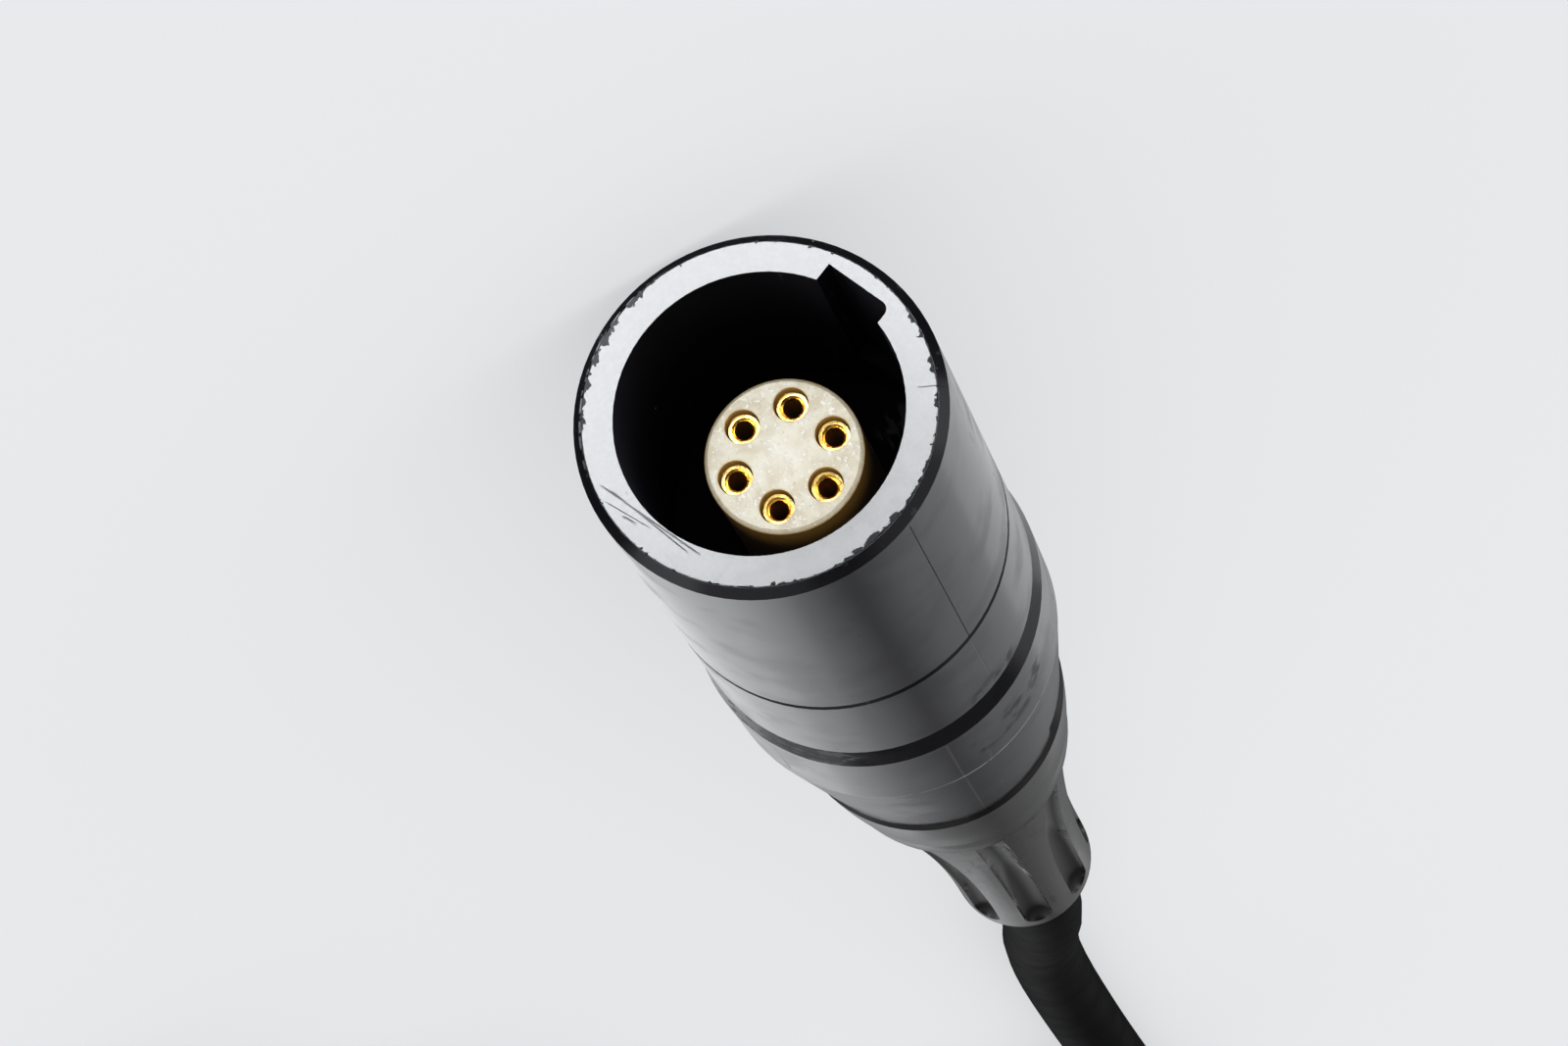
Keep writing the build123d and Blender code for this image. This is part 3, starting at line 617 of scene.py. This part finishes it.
def turnedMetal(name, color, roughness):
    # fine turning rings along the axis, with light tarnish
    g = Graph(name, color, roughness, metallic=1.0)
    rings = g.noise(6.0, 2.0, (0.05, 4.0, 0.05), 71.0)
    tarnish = g.step(g.noise(0.8, 4.0, seed=73.0), 0.45, 0.75)
    g.put("Base Color", g.color(g.times(tarnish, 0.45), color, tuple(v * 0.72 for v in color)))
    g.put("Roughness", g.plus(g.times(rings, 0.10), g.blend(tarnish, roughness, roughness + 0.10)))
    g.bump(rings, 0.004)
    return g.material


def mouldedPlastic(name, color, roughness):
    # faint mottle, flow ripples and a little dust
    g = Graph(name, color, roughness)
    mottle = g.step(g.noise(0.7, 4.0, seed=81.0), 0.35, 0.70)
    dust = g.specks(1.4, 0.06, 0.10, 83.0)
    tone = g.color(mottle, tuple(v * 0.85 for v in color), tuple(min(1.0, v * 1.15) for v in color))
    g.put("Base Color", g.color(g.times(dust, 0.5), tone, (0.30, 0.30, 0.29)))
    g.put("Roughness", g.most(g.blend(mottle, roughness, roughness + 0.10), g.times(dust, 0.8)))
    g.bump(g.plus(g.times(mottle, 0.6), g.times(g.noise(11.0, 2.0, seed=85.0), 0.05)), 0.012)
    return g.material


plated = turnedMetal("plugMetal", innerFinish["plated"], 0.14)
insulation = mouldedPlastic("plugInsulation", innerFinish["insulation"], 0.30)
dress(plated, "plug_tip", "plug_ring_1", "plug_ring_2", "plug_sleeve")
dress(turnedMetal("retainerMetal", innerFinish["brass"], 0.24), "block_retainer")
dress(turnedMetal("washerSteel", innerFinish["steel"], 0.26), "clamp_washer")
dress(mouldedPlastic("clampPlastic", innerFinish["clamp"], 0.45), "cord_clamp")
dress(mouldedPlastic("barrelPlastic", innerFinish["barrel"], 0.24), "plug_barrel")
dress(insulation, *[f"plug_insulator_{i}" for i in (1, 2, 3)])

wireTints = {
    "red": (0.62, 0.05, 0.05), "white": (0.80, 0.80, 0.78), "green": (0.06, 0.40, 0.14),
    "blue": (0.06, 0.16, 0.55), "yellow": (0.80, 0.62, 0.06), "black": (0.02, 0.02, 0.022),
}
for index, (tint, color) in enumerate(wireTints.items(), 1):
    wireSkin = mouldedPlastic(tint + "Wire", color, 0.38)
    dress(wireSkin, f"wire_{index}")
    if index <= 4:
        dress(wireSkin, f"plug_wire_{index}")
print("stage: plug and inner pieces dressed")


# floor: plain for the camera; gloss sees a bright card in front of the face, and the wall's tones behind it
studio = {
    "floorColor": (0.90, 0.905, 0.915),
    "shown": (0.945, 0.953, 0.966),
    "shownShare": 0.60,                 # the rest is lit, so the floor keeps its shadows
    "size": 6.0,
    "cardGlow": 18.6,
    "cardCentre": (0.0, -56.0),
    "cardHole": (4.6, 14.0),            # half width and half length of the card's dark middle
    "cardReach": (9.5, 24.0),
    "soft": 0.70,                       # even light from the room
    "overhead": 0.06,                   # what gloss sees above and in front
}


def makeFloor(s):
    half = s["size"] / 2
    mesh = bpy.data.meshes.new("floor")
    corners = [(-half, -half, 0), (half, -half, 0), (half, half, 0), (-half, half, 0)]
    mesh.from_pydata(corners, [], [(0, 1, 2, 3)])
    floor = bpy.data.objects.new("floor", mesh)
    bpy.context.scene.collection.objects.link(floor)
    g = Graph("floorSheet", s["floorColor"], 0.9, gloss=0.0)
    g.material.cycles.emission_sampling = "NONE"
    x, y, z = g.parts()
    cx, cy = s["cardCentre"]

    def oval(size):
        across = g.math("DIVIDE", g.minus(x, cx), size[0])
        along = g.math("DIVIDE", g.minus(y, cy), size[1])
        return g.math("SQRT", g.plus(g.times(across, across), g.times(along, along)))

    card = g.times(g.step(oval(s["cardReach"]), 1.08, 0.92), g.step(oval(s["cardHole"]), 0.9, 1.1),
                   g.step(y, -36.2, -37.0))
    spread = g.plus(6.0, g.times(g.most(y, 0.0), 0.17))      # the wall's dark gap goes on across the sheet
    sides = g.ramp(g.math("DIVIDE", x, spread), -3, 3, [(-3, 0.7), (-1.67, 0.75), (-0.77, 0.24), (0, 0.06),
                                                        (0.92, 0.5), (1.3, 0.95), (1.6, 1.1), (3, 1.1)])
    sides = g.blend(g.step(y, -34.0, -8.0), s["overhead"], sides)
    glossy = g.add("ShaderNodeEmission")
    g.wire((0.97, 0.98, 1.0), glossy.inputs["Color"])
    g.wire(g.blend(card, sides, s["cardGlow"]), glossy.inputs["Strength"])
    plain = g.add("ShaderNodeEmission")
    g.wire(s["shown"], plain.inputs["Color"])
    path = g.add("ShaderNodeLightPath")
    forCamera = g.add("ShaderNodeMixShader")
    g.wire(g.times(path.outputs["Is Camera Ray"], s["shownShare"]), forCamera.inputs[0])
    g.wire(g.shader.outputs[0], forCamera.inputs[1])
    g.wire(plain.outputs[0], forCamera.inputs[2])
    forGloss = g.add("ShaderNodeMixShader")
    g.wire(g.most(path.outputs["Is Glossy Ray"], path.outputs["Is Transmission Ray"]), forGloss.inputs[0])
    g.wire(forCamera.outputs[0], forGloss.inputs[1])
    g.wire(glossy.outputs[0], forGloss.inputs[2])
    g.wire(forGloss.outputs[0], g.tree.nodes["Material Output"].inputs["Surface"])
    floor.data.materials.append(g.material)


def makeRoom(s):
    # even light for matt surfaces; gloss sees a pale wall behind with a dark gap in its middle
    world = bpy.data.worlds.new("room")
    world.use_nodes = True
    bpy.context.scene.world = world
    g = Graph("roomHelper", (0, 0, 0), 1.0)     # the same helpers, turned to the world's own nodes
    bpy.data.materials.remove(g.material)
    g.tree = world.node_tree
    where = g.add("ShaderNodeTexCoord")
    way = g.add("ShaderNodeSeparateXYZ")
    g.wire(where.outputs["Generated"], way.inputs[0])
    heading = g.times(g.math("ARCTAN2", way.outputs[0], way.outputs[1]), 180 / math.pi)
    wall = g.ramp(heading, -180, 180, [(-180, 0.45), (-150, 1.3), (-125, 2.2), (-105, 1.1), (-80, 0.35),
                                       (-60, 0.25), (-30, 0.42), (-18, 0.58), (-13, 0.52), (-10, 0.47),
                                       (-6, 0.35), (0.9, 0.17), (7, 0.36), (12, 0.60), (14, 0.86), (17, 1.07),
                                       (20, 1.20), (27, 1.05), (40, 0.45), (80, 0.35), (105, 1.2), (130, 2.2),
                                       (155, 1.2), (180, 0.45)])
    low = g.times(g.step(way.outputs[2], 0.32, 0.06), g.band(heading, -15, 15, 5))
    wall = g.times(wall, g.minus(1.0, g.times(low, 0.42)))
    above = g.ramp(heading, -180, 180, [(-180, 0.08), (-150, 0.10), (-130, 0.4), (-95, 0.5),
                                        (-65, s["overhead"]), (65, s["overhead"]), (95, 0.5), (130, 0.4),
                                        (150, 0.10), (180, 0.08)])
    seen = g.blend(g.step(way.outputs[2], 0.52, 0.36), above, wall)
    path = g.add("ShaderNodeLightPath")
    shade = world.node_tree.nodes["Background"]
    shade.inputs["Color"].default_value = (0.97, 0.985, 1, 1)
    g.wire(g.blend(path.outputs["Is Glossy Ray"], s["soft"], seen), shade.inputs["Strength"])


keyLamp = {
    "place": (0.02, -0.75, 0.22),
    "target": (0, -0.03, 0.007),
    "size": (0.22, 0.22),
    "power": 3.3,
}


def makeLamp(name, lamp):
    # it lights the insert down in the socket and nothing else
    data = bpy.data.lights.new(name, "AREA")
    data.shape = "RECTANGLE"
    data.size, data.size_y = lamp["size"]
    data.energy = lamp["power"]
    made = bpy.data.objects.new(name, data)
    made.location = lamp["place"]
    made.rotation_euler = (Vector(lamp["target"]) - Vector(lamp["place"])).to_track_quat("-Z", "Y").to_euler()
    bpy.context.scene.collection.objects.link(made)
    lit = bpy.data.collections.new(name + "Lit")
    for piece, obj in nodes.items():
        if piece.startswith("contact"):
            lit.objects.link(obj)
    made.light_linking.receiver_collection = lit


makeFloor(studio)
makeRoom(studio)
makeLamp("key", keyLamp)
for obj in [cord, nodes["coil_tie"]] + [nodes[name] for name in plugNodes]:
    obj.visible_glossy = False     # what is put away shows in no reflection either
print("stage: floor, room and lamp made")

bpy.context.view_layer.update()
